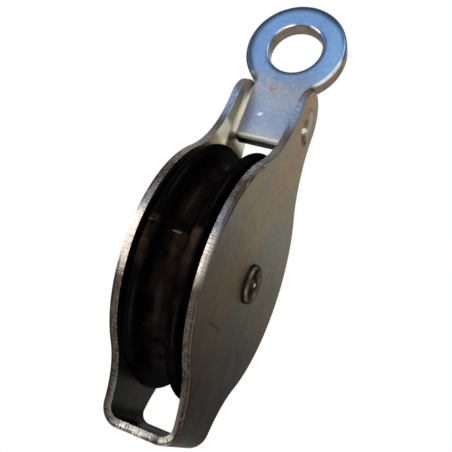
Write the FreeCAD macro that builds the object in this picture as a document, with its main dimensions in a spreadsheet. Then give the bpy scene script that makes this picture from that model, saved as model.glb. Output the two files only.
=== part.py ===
import FreeCAD, Part

import math
import os

import Sketcher

# Single rope pulley with a fixed eye.
# A strip of steel is bent into a U. Its two round cheeks hold the axle of a grooved wheel, and an
# eye plate is riveted between their necks. Millimetres, +Z up, X along the axle, and the origin
# at the centre of the eye, where the pulley hangs.

ORIGIN = (0, 0)
SPARE = 5.0

SIZES = (
    # strap frame
    ("cheek_gap", 20.0),
    ("strap_thickness", 2.5),
    ("cheek_diameter", 77.5),
    ("neck_end_radius", 10.5),
    ("neck_end_below_eye", 25.0),
    ("shoulder_radius", 33.0),
    ("foot_width", 24.0),
    ("foot_depth", 52.5),
    ("foot_radius", 29.0),
    ("bend_radius", 6.0),
    ("edge_roll", 0.6),
    # eye plate
    ("eye_height", 81.5),
    ("eye_diameter", 34.6),
    ("eye_bore", 18.5),
    ("eye_thickness", 6.0),
    ("eye_edge", 1.2),
    ("bore_edge", 0.8),
    ("neck_width", 19.0),
    ("notch_radius", 1.2),
    ("stem_above_wheel", 6.0),
    ("stem_corner", 1.5),
    ("tenon_rise", 0.1),
    ("tenon_height", 7.2),
    ("tenon_clearance", 0.15),
    ("peen_height", 0.8),
    ("peen_spread", 0.3),
    ("peen_corner", 1.0),
    ("peen_crown", 0.65),
    # axle rivet and its distance tube
    ("axle_diameter", 8.0),
    ("axle_clearance", 0.05),
    ("closed_head_diameter", 12.8),
    ("closed_head_height", 1.8),
    ("closed_head_ring", 0.8),
    ("closed_head_dish", 2.6),
    ("closed_head_point", 1.7),
    ("plain_head_diameter", 13.0),
    ("plain_head_height", 1.8),
    ("plain_head_edge", 0.9),
    ("tube_diameter", 12.0),
    ("tube_edge", 0.3),
    # wheel
    ("wheel_diameter", 79.0),
    ("wheel_width", 16.4),
    ("crest_radius", 1.7),
    ("tread_diameter", 62.0),
    ("groove_radius", 4.4),
    ("rim_wall", 3.6),
    ("web_thickness", 6.0),
    ("hub_diameter", 24.0),
    ("hub_play", 0.3),
    ("bearing_clearance", 0.08),
    ("rib_count", 6),
    ("rib_thickness", 2.4),
    ("rib_recess", 2.0),
    ("rib_root", 0.9),
)


class Size:
    """A length that knows its value and the sheet formula that gives it."""

    def __init__(self, value, formula):
        self.value = float(value)
        self.formula = formula

    def _join(self, other, sign, value):
        text = other.formula if isinstance(other, Size) else "%g" % other
        return Size(value, "(%s %s %s)" % (self.formula, sign, text))

    def __add__(self, other):
        return self._join(other, "+", self.value + number(other))

    def __sub__(self, other):
        return self._join(other, "-", self.value - number(other))

    def __mul__(self, other):
        return self._join(other, "*", self.value * number(other))

    def __truediv__(self, other):
        return self._join(other, "/", self.value / number(other))

    def __neg__(self):
        return Size(-self.value, "(-%s)" % self.formula)


def number(size):
    return size.value if isinstance(size, Size) else float(size)


def make_sheet(document):
    """Write the driving sizes to the sheet and return them by name."""
    sheet = document.addObject("Spreadsheet::Sheet", "Sizes")
    for row, (alias, value) in enumerate(SIZES, start=1):
        sheet.set("A%d" % row, alias)
        sheet.set("B%d" % row, str(value))
        sheet.setAlias("B%d" % row, alias)
    document.recompute()
    return {alias: Size(sheet.get(alias), "Sizes." + alias) for alias, value in SIZES}


def plain(point):
    return (number(point[0]), number(point[1]))


def meeting(first, first_reach, second, second_reach):
    """The point right of the line from first to second that lies at both distances."""
    (x, y), near, far = plain(first), number(first_reach), number(second_reach)
    apart = math.dist((x, y), plain(second))
    turn = bearing(first, second)
    reach = (near**2 - far**2 + apart**2) / (2 * apart)
    height = math.sqrt(near**2 - reach**2)
    return (
        x + math.cos(turn) * reach + math.sin(turn) * height,
        y + math.sin(turn) * reach - math.cos(turn) * height,
    )


def bearing(start, end):
    """The angle of the line from start to end."""
    (x, y), (far_x, far_y) = plain(start), plain(end)
    return math.atan2(far_y - y, far_x - x)


class Drawing:
    """A sketch on one of a body's own planes, with its sizes bound to the sheet."""

    def __init__(self, body, plane, name):
        self.sketch = body.newObject("Sketcher::SketchObject", name)
        planes = [f for f in body.Origin.OriginFeatures if f.Role == plane]
        self.sketch.AttachmentSupport = (planes[0], [""])
        self.sketch.MapMode = "FlatFace"

    def rule(self, *terms):
        return self.sketch.addConstraint(Sketcher.Constraint(*terms))

    def measure(self, kind, *terms):
        """Add a constraint whose last term is a Size, and bind it to the sheet."""
        size = terms[-1]
        index = self.rule(kind, *terms[:-1], size.value)
        self.sketch.setExpression("Constraints[%d]" % index, size.formula)

    def line(self, start, end):
        points = [FreeCAD.Vector(number(x), number(y), 0) for x, y in (start, end)]
        return self.sketch.addGeometry(Part.LineSegment(*points), False)

    def arc(self, centre, radius, start, end):
        """An arc that runs anticlockwise from the start angle to the end angle."""
        middle = FreeCAD.Vector(number(centre[0]), number(centre[1]), 0)
        circle = Part.Circle(middle, FreeCAD.Vector(0, 0, 1), number(radius))
        index = self.sketch.addGeometry(Part.ArcOfCircle(circle, start, end), False)
        self.measure("Radius", index, radius)
        return index

    def circle(self, centre, radius):
        middle = FreeCAD.Vector(number(centre[0]), number(centre[1]), 0)
        circle = Part.Circle(middle, FreeCAD.Vector(0, 0, 1), number(radius))
        index = self.sketch.addGeometry(circle, False)
        self.measure("Radius", index, radius)
        self.place(index, 3, centre)
        return index

    def place(self, item, end, point):
        """Fix one end of an item, or a centre where end is 3, at a point."""
        x, y = point
        if isinstance(x, Size):
            self.measure("DistanceX", -1, 1, item, end, x)
        else:
            self.rule("PointOnObject", item, end, -2)
        if isinstance(y, Size):
            self.measure("DistanceY", -1, 1, item, end, y)
        else:
            self.rule("PointOnObject", item, end, -1)

    def join(self, first, second, smooth=False):
        """Make the end of the first item the start of the second."""
        kind = "Tangent" if smooth else "Coincident"
        self.rule(kind, first[0], first[1], second[0], second[1])

    def polygon(self, corners):
        count = len(corners)
        lines = [self.line(corners[i], corners[(i + 1) % count]) for i in range(count)]
        for i, line in enumerate(lines):
            self.join((line, 2), (lines[(i + 1) % count], 1))
            self.place(line, 1, corners[i])

    def box(self, centre, width, height):
        x, y = centre
        left = -width / 2 if not isinstance(x, Size) else x - width / 2
        right = width / 2 if not isinstance(x, Size) else x + width / 2
        low, high = y - height / 2, y + height / 2
        self.polygon([(left, low), (right, low), (right, high), (left, high)])


def new_body(document, name, height=None):
    """A body with its own Label. Its own origin stands at the given height below the eye."""
    body = document.addObject("PartDesign::Body", name)
    body.Label = name
    if height is not None:
        body.setExpression(".Placement.Base.z", (-height).formula)
    return body


def pad(body, drawing, length, name, both_ways=True):
    feature = body.newObject("PartDesign::Pad", name)
    feature.Profile = drawing.sketch
    if both_ways:
        feature.SideType = "Symmetric"
    feature.setExpression("Length", length.formula)
    body.Document.recompute()
    return feature


def pocket(body, drawing, name):
    """Cut a sketch through the whole body, both ways, and make sure that it cuts."""
    before = body.Shape.Volume
    feature = body.newObject("PartDesign::Pocket", name)
    feature.Profile = drawing.sketch
    feature.SideType = "Symmetric"
    feature.Type = "ThroughAll"
    body.Document.recompute()
    if not body.Shape.Volume < before:
        raise RuntimeError("pocket %s cuts nothing" % name)
    return feature


def revolve(body, drawing, axis, name):
    feature = body.newObject("PartDesign::Revolution", name)
    feature.Profile = drawing.sketch
    feature.ReferenceAxis = (drawing.sketch, [axis])
    feature.Angle = 360
    body.Document.recompute()
    return feature


def fillet(body, chosen, radius, name):
    """Round the edges of the body's last feature for which chosen(edge) holds."""
    base = body.Tip
    names = ["Edge%d" % i for i, edge in enumerate(base.Shape.Edges, 1) if chosen(edge)]
    if not names:
        raise RuntimeError("fillet %s finds no edge" % name)
    feature = body.newObject("PartDesign::Fillet", name)
    feature.Base = (base, names)
    feature.setExpression("Radius", radius.formula)
    body.Document.recompute()
    return feature


def middle_of(edge):
    return edge.valueAt((edge.FirstParameter + edge.LastParameter) / 2)


def close(first, second, slack=1e-4):
    return abs(first - second) < slack


def make_strap_frame(document, s):
    """The U-bent strap. Drawn about the axle: cheek outline, channel, bends, then holes."""
    body = new_body(document, "strap_frame", s["eye_height"])
    reach = s["cheek_diameter"] / 2
    neck_end = s["eye_height"] - s["neck_end_below_eye"]
    end_centre = (0, neck_end)
    corner = (s["foot_width"] / 2, -s["foot_depth"])
    shoulder, foot = s["shoulder_radius"], s["foot_radius"]

    # the outline that both cheeks share, seen along the axle
    over = meeting(ORIGIN, reach + shoulder, end_centre, s["neck_end_radius"] + shoulder)
    under = meeting(corner, foot, ORIGIN, reach + foot)
    top_joint = bearing(ORIGIN, over)
    low_joint = bearing(ORIGIN, under)
    end_joint = bearing(end_centre, over)

    outline = Drawing(body, "YZ_Plane", "cheek_outline")
    right_cheek = outline.arc(ORIGIN, reach, low_joint, top_joint)
    right_neck = outline.arc(over, shoulder, math.pi + end_joint, math.pi + top_joint)
    end = outline.arc(end_centre, s["neck_end_radius"], end_joint, math.pi - end_joint)
    left_neck = outline.arc((-over[0], over[1]), shoulder, -top_joint, -end_joint)
    left_cheek = outline.arc(ORIGIN, reach, math.pi - top_joint, math.pi - low_joint)
    toe_joint = bearing(under, corner)
    left_foot = outline.arc((-under[0], under[1]), foot, math.pi - toe_joint, -low_joint)
    sole = outline.line((-corner[0], corner[1]), corner)
    right_foot = outline.arc(under, foot, math.pi + low_joint, toe_joint)
    for first, second in (
        ((right_cheek, 2), (right_neck, 2)),
        ((right_neck, 1), (end, 1)),
        ((end, 2), (left_neck, 2)),
        ((left_neck, 1), (left_cheek, 1)),
        ((left_cheek, 2), (left_foot, 2)),
        ((right_foot, 1), (right_cheek, 1)),
    ):
        outline.join(first, second, smooth=True)
    outline.join((left_foot, 1), (sole, 1))
    outline.join((sole, 2), (right_foot, 2))
    for cheek in (right_cheek, left_cheek):
        outline.rule("Coincident", cheek, 3, -1, 1)
    outline.place(end, 3, end_centre)
    outline.place(sole, 1, (-corner[0], corner[1]))
    outline.place(sole, 2, corner)
    pad(body, outline, s["cheek_gap"] + s["strap_thickness"] * 2, "blank")

    # the channel between the cheeks, seen along Y
    side = s["cheek_gap"] / 2
    floor = -s["foot_depth"] + s["strap_thickness"]
    inner = s["bend_radius"] - s["strap_thickness"]
    sky = neck_end + s["neck_end_radius"] + SPARE
    channel = Drawing(body, "XZ_Plane", "channel_outline")
    left = channel.line((-side, sky), (-side, floor + inner))
    left_bend = channel.arc((-side + inner, floor + inner), inner, math.pi, 1.5 * math.pi)
    flat = channel.line((-side + inner, floor), (side - inner, floor))
    right_bend = channel.arc((side - inner, floor + inner), inner, 1.5 * math.pi, 2 * math.pi)
    right = channel.line((side, floor + inner), (side, sky))
    lid = channel.line((side, sky), (-side, sky))
    channel.join((left, 2), (left_bend, 1), smooth=True)
    channel.join((left_bend, 2), (flat, 1), smooth=True)
    channel.join((flat, 2), (right_bend, 1), smooth=True)
    channel.join((right_bend, 2), (right, 1), smooth=True)
    channel.join((right, 2), (lid, 1))
    channel.join((lid, 2), (left, 1))
    channel.place(left_bend, 3, (-side + inner, floor + inner))
    channel.place(right_bend, 3, (side - inner, floor + inner))
    channel.place(lid, 1, (side, sky))
    channel.place(lid, 2, (-side, sky))
    pocket(body, channel, "channel")

    # the two bends
    outside = (side + s["strap_thickness"]).value
    depth = s["foot_depth"].value

    def is_bend(edge):
        spot = middle_of(edge)
        return close(abs(spot.x), outside) and close(spot.z, -depth)

    fillet(body, is_bend, s["bend_radius"], "bends")

    # the die rolls the outer edge of the blank over
    turn = s["bend_radius"].value

    def on_outer_skin(spot):
        across = abs(spot.x) - (outside - turn)
        down = -spot.z - (depth - turn)
        if across > 0 and down > 0:
            return close(math.hypot(across, down), turn)
        return close(abs(spot.x), outside) or close(spot.z, -depth)

    def is_outer_rim(edge):
        ends = [vertex.Point for vertex in edge.Vertexes]
        across = len(ends) == 2 and close(ends[0].y, -ends[1].y) and close(ends[0].z, ends[1].z)
        spot = middle_of(edge)
        straight_across = across and close(spot.z, ends[0].z)
        return on_outer_skin(spot) and not straight_across

    fillet(body, is_outer_rim, s["edge_roll"], "rolled_edge")

    # the axle hole, and the slots that take the tenons of the eye plate
    holes = Drawing(body, "YZ_Plane", "hole_outline")
    holes.circle(ORIGIN, s["axle_diameter"] / 2 + s["axle_clearance"])
    holes.box(
        (0, neck_end + s["tenon_rise"]),
        s["eye_thickness"] + s["tenon_clearance"] * 2,
        s["tenon_height"] + s["tenon_clearance"] * 2,
    )
    pocket(body, holes, "holes")
    return body


def make_eye_plate(document, s):
    """The eye plate. Drawn about the eye: ring, neck and stem, bore, then tenons."""
    body = new_body(document, "eye_plate")
    ring = s["eye_diameter"] / 2
    neck = s["neck_width"] / 2
    side = s["cheek_gap"] / 2
    notch, corner = s["notch_radius"], s["stem_corner"]
    bottom = s["wheel_diameter"] / 2 + s["stem_above_wheel"] - s["eye_height"]

    # ring, neck and stem, seen along Y: a round notch parts the ring from the stem
    waist = neck + notch
    depth = math.sqrt((ring + notch).value ** 2 - waist.value**2)
    waist_joint = bearing((waist, -depth), ORIGIN)
    ring_joint = bearing(ORIGIN, (waist, -depth))
    fall = math.acos((waist - side).value / notch.value)
    top = -depth - notch.value * math.sin(fall)
    plate = Drawing(body, "XZ_Plane", "plate_outline")
    loop = plate.arc(ORIGIN, ring, ring_joint, math.pi - ring_joint)
    left_notch = plate.arc((-waist, -depth), notch, -fall, math.pi - waist_joint)
    left_side = plate.line((-side, top), (-side, bottom + corner))
    left_corner = plate.arc((-side + corner, bottom + corner), corner, math.pi, 1.5 * math.pi)
    sole = plate.line((-side + corner, bottom), (side - corner, bottom))
    right_corner = plate.arc((side - corner, bottom + corner), corner, 1.5 * math.pi, 2 * math.pi)
    right_side = plate.line((side, bottom + corner), (side, top))
    right_notch = plate.arc((waist, -depth), notch, waist_joint, math.pi + fall)
    for first, second in (
        ((loop, 2), (left_notch, 2)),
        ((left_side, 2), (left_corner, 1)),
        ((left_corner, 2), (sole, 1)),
        ((sole, 2), (right_corner, 1)),
        ((right_corner, 2), (right_side, 1)),
        ((right_notch, 1), (loop, 1)),
    ):
        plate.join(first, second, smooth=True)
    plate.join((left_notch, 1), (left_side, 1))
    plate.join((right_side, 2), (right_notch, 2))
    plate.rule("Coincident", loop, 3, -1, 1)
    plate.measure("DistanceX", -1, 1, left_notch, 3, -waist)
    plate.measure("DistanceX", -1, 1, right_notch, 3, waist)
    plate.measure("DistanceX", -1, 1, left_side, 1, -side)
    plate.measure("DistanceX", -1, 1, right_side, 2, side)
    plate.place(left_corner, 3, (-side + corner, bottom + corner))
    plate.place(right_corner, 3, (side - corner, bottom + corner))
    pad(body, plate, s["eye_thickness"], "plate")

    face = s["eye_thickness"].value / 2

    def is_face_edge(edge):
        return all(close(abs(vertex.Point.y), face) for vertex in edge.Vertexes)

    fillet(body, is_face_edge, s["eye_edge"], "rounded_outline")

    bore = Drawing(body, "XZ_Plane", "bore_outline")
    bore.circle(ORIGIN, s["eye_bore"] / 2)
    pocket(body, bore, "bore")
    hole = s["eye_bore"].value / 2

    def is_bore_edge(edge):
        spot = middle_of(edge)
        return close(abs(spot.y), face) and close(math.hypot(spot.x, spot.z), hole)

    fillet(body, is_bore_edge, s["bore_edge"], "rounded_bore")

    # the tenon bar through both cheeks, then the two peened ends
    middle = s["tenon_rise"] - s["neck_end_below_eye"]
    tenon = Drawing(body, "YZ_Plane", "tenon_outline")
    tenon.box((0, middle), s["eye_thickness"], s["tenon_height"])
    outside = side + s["strap_thickness"]
    pad(body, tenon, outside * 2, "tenons")
    peen = Drawing(body, "YZ_Plane", "peen_outline")
    peen.box(
        (0, middle),
        s["eye_thickness"] + s["peen_spread"] * 2,
        s["tenon_height"] + s["peen_spread"] * 2,
    )
    peen.sketch.setExpression(".AttachmentOffset.Base.z", outside.formula)
    right_peen = pad(body, peen, s["peen_height"], "right_peen", both_ways=False)
    mirror = body.newObject("PartDesign::Mirrored", "left_peen")
    mirror.Originals = [right_peen]
    planes = [f for f in body.Origin.OriginFeatures if f.Role == "YZ_Plane"]
    mirror.MirrorPlane = (planes[0], [""])
    body.Tip = mirror
    document.recompute()
    crown = (outside + s["peen_height"]).value
    wide = (s["eye_thickness"] / 2 + s["peen_spread"]).value

    def is_peen_corner(edge):
        spot = middle_of(edge)
        along_x = len(edge.Vertexes) == 2 and close(
            abs(edge.Vertexes[0].X - edge.Vertexes[1].X), s["peen_height"].value
        )
        return along_x and close(abs(spot.y), wide)

    fillet(body, is_peen_corner, s["peen_corner"], "peen_corners")

    def is_crown_edge(edge):
        return all(close(abs(vertex.Point.x), crown) for vertex in edge.Vertexes)

    fillet(body, is_crown_edge, s["peen_crown"], "peen_crowns")
    return body


def make_axle_rivet(document, s):
    """The rivet through both cheeks, a body of revolution about X."""
    body = new_body(document, "axle_rivet", s["eye_height"])
    shank = s["axle_diameter"] / 2
    seat = s["cheek_gap"] / 2 + s["strap_thickness"]

    # half section above the axis: plain head on the left, closed head on the right
    factory, edge = s["plain_head_diameter"] / 2, s["plain_head_edge"]
    closed = s["closed_head_diameter"] / 2
    ring, dish, point = s["closed_head_ring"], s["closed_head_dish"], s["closed_head_point"]
    left = -seat - s["plain_head_height"]
    right = seat + s["closed_head_height"]

    # the closed head is a rolled ring, a round dish inside it and a round point on the axis
    ring_centre = (right - ring, closed - ring)
    point_centre = (right - point, 0)
    dish_centre = meeting(point_centre, point + dish, ring_centre, ring + dish)
    ring_turn = bearing(ring_centre, dish_centre)
    point_turn = bearing(point_centre, dish_centre)

    section = Drawing(body, "XZ_Plane", "rivet_section")
    axis_line = section.line((left, 0), (right, 0))
    left_face = section.line((left, factory - edge), (left, 0))
    left_edge = section.arc((left + edge, factory - edge), edge, 0.5 * math.pi, math.pi)
    left_side = section.line((-seat, factory), (left + edge, factory))
    left_seat = section.line((-seat, shank), (-seat, factory))
    shank_line = section.line((seat, shank), (-seat, shank))
    right_seat = section.line((seat, closed), (seat, shank))
    right_side = section.line((right - ring, closed), (seat, closed))
    ring_arc = section.arc(ring_centre, ring, ring_turn, 0.5 * math.pi)
    dish_arc = section.arc(dish_centre, dish, math.pi + ring_turn, math.pi + point_turn)
    point_arc = section.arc(point_centre, point, 0, point_turn)
    section.join((axis_line, 2), (point_arc, 1))
    section.join((point_arc, 2), (dish_arc, 2), smooth=True)
    section.join((dish_arc, 1), (ring_arc, 1), smooth=True)
    section.join((ring_arc, 2), (right_side, 1), smooth=True)
    section.join((right_side, 2), (right_seat, 1))
    section.join((right_seat, 2), (shank_line, 1))
    section.join((shank_line, 2), (left_seat, 1))
    section.join((left_seat, 2), (left_side, 1))
    section.join((left_side, 2), (left_edge, 1), smooth=True)
    section.join((left_edge, 2), (left_face, 1), smooth=True)
    section.join((left_face, 2), (axis_line, 1))
    section.place(axis_line, 1, (left, 0))
    section.rule("PointOnObject", axis_line, 2, -1)
    section.place(left_edge, 3, (left + edge, factory - edge))
    section.place(left_seat, 2, (-seat, factory))
    section.place(shank_line, 2, (-seat, shank))
    section.place(shank_line, 1, (seat, shank))
    section.place(right_seat, 1, (seat, closed))
    section.place(ring_arc, 3, ring_centre)
    section.place(point_arc, 3, point_centre)
    revolve(body, section, "H_Axis", "rivet")
    return body


def make_bearing_tube(document, s):
    """The distance tube on the rivet, as long as the gap between the cheeks."""
    body = new_body(document, "bearing_tube", s["eye_height"])
    ring = Drawing(body, "YZ_Plane", "tube_section")
    ring.circle(ORIGIN, s["tube_diameter"] / 2)
    ring.circle(ORIGIN, s["axle_diameter"] / 2 + s["axle_clearance"])
    pad(body, ring, s["cheek_gap"], "tube")
    outer = s["tube_diameter"].value / 2

    def is_outer_end(edge):
        return close(getattr(edge.Curve, "Radius", 0), outer) and len(edge.Vertexes) == 1

    fillet(body, is_outer_end, s["tube_edge"], "tube_ends")
    return body


def make_sheave(document, s):
    """The moulded wheel: hub, ribbed web and grooved rim, turned about X."""
    body = new_body(document, "sheave", s["eye_height"])
    bore = s["tube_diameter"] / 2 + s["bearing_clearance"]
    hub_side = s["cheek_gap"] / 2 - s["hub_play"]
    hub = s["hub_diameter"] / 2
    web = s["web_thickness"] / 2
    rim = s["wheel_width"] / 2
    rim_floor = s["tread_diameter"] / 2 - s["rim_wall"]
    crest, groove = s["crest_radius"], s["groove_radius"]
    crest_centre = (rim - crest, s["wheel_diameter"] / 2 - crest)
    groove_centre = (0, s["tread_diameter"] / 2 + groove)

    # the wall of the groove is a line tangent to the crest and to the floor of the groove
    apart = math.dist(plain(crest_centre), plain(groove_centre))
    across = bearing(crest_centre, groove_centre) % (2 * math.pi)
    lean = across - math.acos((crest + groove).value / apart)
    wall_top = (
        crest_centre[0].value + crest.value * math.cos(lean),
        crest_centre[1].value + crest.value * math.sin(lean),
    )
    wall_foot = (
        -groove.value * math.cos(lean),
        groove_centre[1].value - groove.value * math.sin(lean),
    )

    section = Drawing(body, "XZ_Plane", "wheel_section")
    corners = [
        (-rim, crest_centre[1]), (-rim, rim_floor), (-web, rim_floor), (-web, hub),
        (-hub_side, hub), (-hub_side, bore), (hub_side, bore), (hub_side, hub),
        (web, hub), (web, rim_floor), (rim, rim_floor), (rim, crest_centre[1]),
    ]
    sides = [section.line(a, b) for a, b in zip(corners, corners[1:])]
    for first, second in zip(sides, sides[1:]):
        section.join((first, 2), (second, 1))
    for side, corner in zip(sides[1:], corners[1:]):
        section.place(side, 1, corner)
    right_crest = section.arc(crest_centre, crest, 0, lean)
    right_wall = section.line(wall_top, wall_foot)
    floor = section.arc(groove_centre, groove, -lean, lean + math.pi)
    left_wall = section.line((-wall_foot[0], wall_foot[1]), (-wall_top[0], wall_top[1]))
    left_crest = section.arc((-crest_centre[0], crest_centre[1]), crest, math.pi - lean, math.pi)
    for first, second in (
        ((sides[-1], 2), (right_crest, 1)),
        ((right_crest, 2), (right_wall, 1)),
        ((right_wall, 2), (floor, 2)),
        ((floor, 1), (left_wall, 1)),
        ((left_wall, 2), (left_crest, 1)),
        ((left_crest, 2), (sides[0], 1)),
    ):
        section.join(first, second, smooth=True)
    section.place(right_crest, 3, crest_centre)
    section.place(left_crest, 3, (-crest_centre[0], crest_centre[1]))
    section.place(floor, 3, groove_centre)
    revolve(body, section, "H_Axis", "wheel")

    # one rib stands out of the web on both sides, and the rest are its copies
    rib = Drawing(body, "YZ_Plane", "rib_outline")
    length = rim_floor - hub + s["rib_root"] * 2
    rib.box((0, (hub + rim_floor) / 2), s["rib_thickness"], length)
    first_rib = pad(body, rib, (rim - s["rib_recess"]) * 2, "rib")
    pattern = body.newObject("PartDesign::PolarPattern", "ribs")
    pattern.Originals = [first_rib]
    axes = [f for f in body.Origin.OriginFeatures if f.Role == "X_Axis"]
    pattern.Axis = (axes[0], [""])
    pattern.Angle = 360
    pattern.setExpression("Occurrences", s["rib_count"].formula)
    body.Tip = pattern
    document.recompute()
    return body


def check(document, bodies):
    """Stop if a feature has failed or a piece is not one valid solid."""
    for item in document.Objects:
        if "Invalid" in item.State or "Error" in item.State:
            raise RuntimeError("%s failed: %s" % (item.Name, item.State))
    for body in bodies:
        shape = body.Shape
        if shape.isNull() or not shape.isValid() or len(shape.Solids) != 1:
            raise RuntimeError("%s is not one valid solid" % body.Label)


def main():
    document = FreeCAD.newDocument("single_pulley")
    sizes = make_sheet(document)
    makers = (
        make_strap_frame,
        make_eye_plate,
        make_axle_rivet,
        make_bearing_tube,
        make_sheave,
    )
    bodies = [make(document, sizes) for make in makers]
    document.recompute()
    check(document, bodies)
    os.makedirs("parts", exist_ok=True)
    for body in bodies:
        body.Shape.exportStep("parts/%s.step" % body.Label)
        print(body.Label, "%.1f mm3" % body.Shape.Volume)


main()
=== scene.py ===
# %% [markdown]
# # A single rope pulley
#
# The real object is a small pulley block from overhead line work. A strip of zinc plated steel is
# bent into a U, a black moulded wheel turns between its two round cheeks, and a flat eye plate is
# riveted into the neck. The CAD model gives every size. This lesson makes the visible pieces again
# with the marks of how they were made, and gives each one its finish.
#
# The frame comes first. It is the packed CAD model: its pieces stand where they belong, in metres,
# with the origin at the centre of the eye. Nothing in it is moved.

# %% Load the fixed frame
import math

import bmesh
import bpy
from mathutils import Matrix, Vector, noise


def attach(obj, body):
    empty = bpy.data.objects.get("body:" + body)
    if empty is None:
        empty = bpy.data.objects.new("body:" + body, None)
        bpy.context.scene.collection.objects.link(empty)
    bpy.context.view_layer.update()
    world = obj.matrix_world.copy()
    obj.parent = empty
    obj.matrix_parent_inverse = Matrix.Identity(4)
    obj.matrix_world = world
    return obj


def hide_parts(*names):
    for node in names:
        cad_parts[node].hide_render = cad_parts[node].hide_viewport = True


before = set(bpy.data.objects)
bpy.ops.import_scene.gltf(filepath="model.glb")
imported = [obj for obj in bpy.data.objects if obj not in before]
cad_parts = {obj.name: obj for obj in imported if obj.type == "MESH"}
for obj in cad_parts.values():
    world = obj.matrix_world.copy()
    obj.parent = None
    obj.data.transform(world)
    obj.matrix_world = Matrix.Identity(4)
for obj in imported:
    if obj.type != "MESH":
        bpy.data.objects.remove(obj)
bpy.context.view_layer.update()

print("CAD pieces:", ", ".join(sorted(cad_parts)))

# %% [markdown]
# ## The camera
#
# The photograph was taken from close by, a little below the pulley and to its right, with the
# pulley leaning over. A camera can be aimed with a constraint, or its three axes can be written
# down. The axes are used here, because the lean is then one clear number.

# %% Place the camera
MM = 0.001
AXLE_HEIGHT = -81.5 * MM

turn, rise, lean = math.radians(20.95), math.radians(-13.76), math.radians(20.9)
backward = Vector((math.sin(turn) * math.cos(rise), -math.cos(turn) * math.cos(rise), math.sin(rise)))
level = Vector((0, 0, 1)).cross(backward).normalized()
upright = backward.cross(level)
sideways = level * math.cos(lean) + upright * math.sin(lean)
upward = upright * math.cos(lean) - level * math.sin(lean)
aim = Vector((-1.517 * MM, 0, AXLE_HEIGHT + 15.634 * MM))
distance = 206.5 * MM

lens = bpy.data.cameras.new("photo_camera")
lens.sensor_width = 36
lens.lens = 51.44
lens.clip_start = 0.01
camera = bpy.data.objects.new("photo_camera", lens)
axes = Matrix((sideways, upward, backward)).transposed().to_4x4()
camera.matrix_world = Matrix.Translation(aim + backward * distance) @ axes
bpy.context.scene.collection.objects.link(camera)
bpy.context.scene.camera = camera
print("camera at", [round(c, 4) for c in camera.location])

# %% [markdown]
# ## Helpers for flat work
#
# Both steel plates start as flat blanks with a rounded rim, so one helper serves them both. It
# takes the outline, and a profile that says how far in from the outline and how high each ring of
# the rim lies. Points keep three notes for the finishes: how much they belong to the rim, how far
# along the rim they are, and on which skin of the plate they lie.

# %% Outlines and rims
def arc(centre, radius, start, end, step=0.4):
    """Points on an arc, from the start angle to the end angle."""
    count = max(2, round(abs(end - start) * radius / step))
    angles = [start + (end - start) * i / count for i in range(count + 1)]
    return [(centre[0] + radius * math.cos(a), centre[1] + radius * math.sin(a)) for a in angles]


def thin(points, least=0.05):
    """Leave out points that lie on their neighbour."""
    kept = [points[0]]
    for point in points[1:]:
        if math.dist(point, kept[-1]) > least:
            kept.append(point)
    if math.dist(kept[0], kept[-1]) < least:
        kept.pop()
    return kept


def inward(points):
    """At each point of a loop, the direction into the material, which lies on the left."""
    result = []
    for i, (x, y) in enumerate(points):
        before, after = points[i - 1], points[(i + 1) % len(points)]
        first = Vector((x - before[0], y - before[1])).normalized()
        second = Vector((after[0] - x, after[1] - y)).normalized()
        along = (first + second).normalized()
        reach = 1 / max(0.7, along.dot(first))
        result.append((-along.y * reach, along.x * reach))
    return result


def band(mesh, low, high):
    """Faces between two closed rings of points."""
    for i in range(len(low)):
        j = (i + 1) % len(low)
        mesh.faces.new((low[i], low[j], high[j], high[i]))


def rim(mesh, loop, profile, uneven=None):
    """Rings of points round a loop. Returns the lowest and the highest ring."""
    edge_note = mesh.verts.layers.float["rim"]
    along_note = mesh.verts.layers.float["along"]
    skin_note = mesh.verts.layers.float["skin"]
    directions = inward(loop)
    half = max(abs(height) for inset, height, note in profile)
    run = 0.0
    runs = []
    for i, point in enumerate(loop):
        runs.append(run)
        run += math.dist(point, loop[(i + 1) % len(loop)])
    rings = []
    for inset, height, note in profile:
        ring = []
        for point, direction, here in zip(loop, directions, runs):
            depth = inset + (uneven(point, here, height) if uneven and note > 0.5 else 0)
            vertex = mesh.verts.new(
                (point[0] + direction[0] * depth, point[1] + direction[1] * depth, height)
            )
            vertex[edge_note] = note
            vertex[along_note] = here
            vertex[skin_note] = height / half
            ring.append(vertex)
        rings.append(ring)
    for low, high in zip(rings, rings[1:]):
        band(mesh, low, high)
    return rings[0], rings[-1]


def blank_mesh():
    mesh = bmesh.new()
    for name in ("rim", "along", "skin"):
        mesh.verts.layers.float.new(name)
    return mesh


def close_skins(mesh, rims):
    """Fill the lower and the upper skin between the rims of a blank."""
    for side in (0, 1):
        edges = []
        for pair in rims:
            ring = pair[side]
            for i, vertex in enumerate(ring):
                edges.append(mesh.edges.get((vertex, ring[(i + 1) % len(ring)])))
        bmesh.ops.triangle_fill(mesh, edges=edges, use_beauty=True)


def settle(mesh, data, name, sharp):
    """Clean a bmesh, write it into the mesh data and make a smooth object of that."""
    bmesh.ops.remove_doubles(mesh, verts=mesh.verts, dist=1e-7)
    bmesh.ops.recalc_face_normals(mesh, faces=mesh.faces)
    mesh.to_mesh(data)
    mesh.free()
    data.polygons.foreach_set("use_smooth", [True] * len(data.polygons))
    data.set_sharp_from_angle(angle=math.radians(sharp))
    made = bpy.data.objects.new(name, data)
    bpy.context.scene.collection.objects.link(made)
    return made


def finish_mesh(mesh, name, sharp=40):
    """Turn a bmesh in millimetres into an object in metres."""
    for vertex in mesh.verts:
        vertex.co *= MM
    made = settle(mesh, bpy.data.meshes.new(name), name, sharp)
    size = [round(length / MM, 1) for length in made.dimensions]
    print(name, "has", len(made.data.polygons), "faces and measures", size, "mm")
    return made


print("helpers: arc, thin, inward, band, rim, close_skins, finish_mesh")

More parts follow.
